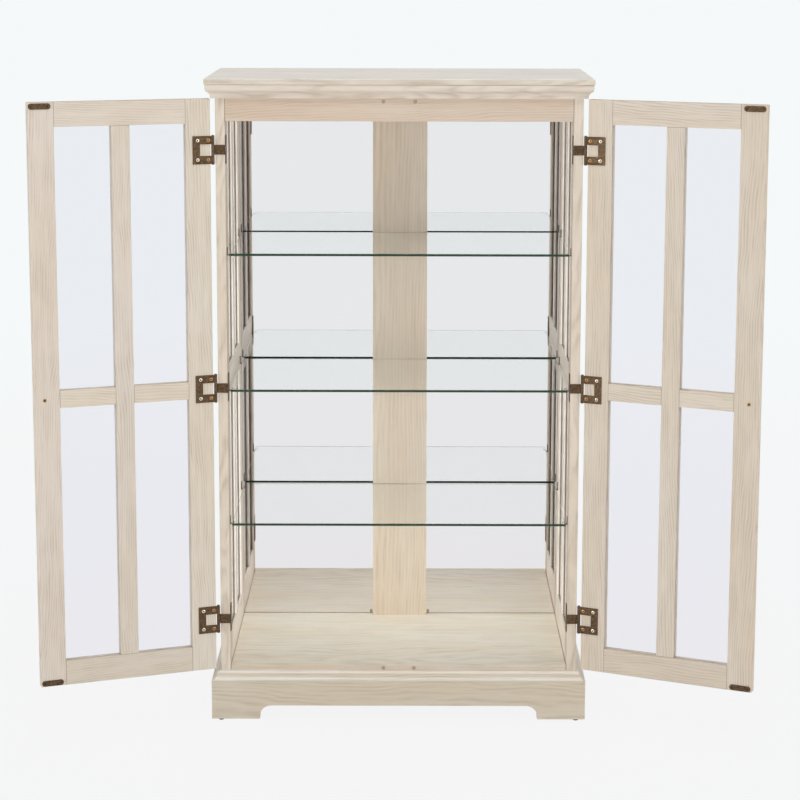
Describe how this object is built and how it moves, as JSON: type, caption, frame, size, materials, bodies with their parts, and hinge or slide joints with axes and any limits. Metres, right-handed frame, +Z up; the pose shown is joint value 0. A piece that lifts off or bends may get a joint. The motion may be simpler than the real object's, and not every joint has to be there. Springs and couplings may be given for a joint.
{
  "type": "display cabinet",
  "caption": "Tall display cabinet with framed glass doors standing open, glazed sides, mirrored back, glass shelves, moulded cornice and a bracket-foot plinth.",
  "frame": {"origin": "on the floor, under the centre of the plinth's outline", "axes": "+X to the cabinet's right as seen from the front, +Y from the doors to the mirrored back, +Z up"},
  "size_m": [1.4867, 0.5838, 1.365],
  "materials": {
    "whitewashed_oak": "satin whitewashed oak",
    "back_board": "matte board",
    "clear_glass": "clear polished",
    "shelf_glass": "clear, polished edges",
    "mirror": "silvered glass",
    "antique_bronze": "antique bronze",
    "clip_metal": "plated",
    "magnet_brass": "plated",
    "screw_copper": "plated",
    "glide_plastic": "matte"
  },
  "bodies": {
    "cabinet": {"top_board": "whitewashed_oak", "cornice_front": "whitewashed_oak", "cornice_left": "whitewashed_oak", "cornice_right": "whitewashed_oak", "front_top_rail": "whitewashed_oak", "floor_panel": "whitewashed_oak", "base_front": "whitewashed_oak", "base_left": "whitewashed_oak", "base_right": "whitewashed_oak", "base_back": "whitewashed_oak", "base_corner_blocks": "whitewashed_oak", "glides": "glide_plastic", "mirrors": "mirror", "back_stile": "whitewashed_oak", "back_panel": "back_board", "mirror_clips": "clip_metal", "shelf_lower": "shelf_glass", "shelf_middle": "shelf_glass", "shelf_upper": "shelf_glass", "shelf_clips": "antique_bronze", "magnets": "magnet_brass", "frame_hinge_leaves": "antique_bronze", "frame_hinge_screws": "screw_copper", "hinge_pins": "antique_bronze", "left_side_front_stile": "whitewashed_oak", "left_side_rear_stile": "whitewashed_oak", "left_side_top_rail": "whitewashed_oak", "left_side_bottom_rail": "whitewashed_oak", "left_side_muntin": "whitewashed_oak", "left_side_middle_rails": "whitewashed_oak", "left_side_glass": "clear_glass", "right_side_front_stile": "whitewashed_oak", "right_side_rear_stile": "whitewashed_oak", "right_side_top_rail": "whitewashed_oak", "right_side_bottom_rail": "whitewashed_oak", "right_side_muntin": "whitewashed_oak", "right_side_middle_rails": "whitewashed_oak", "right_side_glass": "clear_glass"},
    "left_door": {"left_door_hinge_stile": "whitewashed_oak", "left_door_free_stile": "whitewashed_oak", "left_door_top_rail": "whitewashed_oak", "left_door_bottom_rail": "whitewashed_oak", "left_door_muntin": "whitewashed_oak", "left_door_middle_rails": "whitewashed_oak", "left_door_glass": "clear_glass", "left_door_knob": "antique_bronze", "left_door_strike_plates": "antique_bronze", "left_door_hinge_leaves": "antique_bronze", "left_door_screws": "screw_copper"},
    "right_door": {"right_door_hinge_stile": "whitewashed_oak", "right_door_free_stile": "whitewashed_oak", "right_door_top_rail": "whitewashed_oak", "right_door_bottom_rail": "whitewashed_oak", "right_door_muntin": "whitewashed_oak", "right_door_middle_rails": "whitewashed_oak", "right_door_glass": "clear_glass", "right_door_knob": "antique_bronze", "right_door_strike_plates": "antique_bronze", "right_door_hinge_leaves": "antique_bronze", "right_door_screws": "screw_copper"}
  },
  "joints": [
    {"name": "left_door_hinge", "type": "hinge", "parent": "cabinet", "child": "left_door", "pos_m": [-0.3835, -0.1988, 0.7], "axis": [0, 0, 1], "range_deg": [-20.9, 159.1]},
    {"name": "right_door_hinge", "type": "hinge", "parent": "cabinet", "child": "right_door", "pos_m": [0.3835, -0.1988, 0.7], "axis": [0, 0, -1], "range_deg": [-25.2, 154.8]}
  ]
}
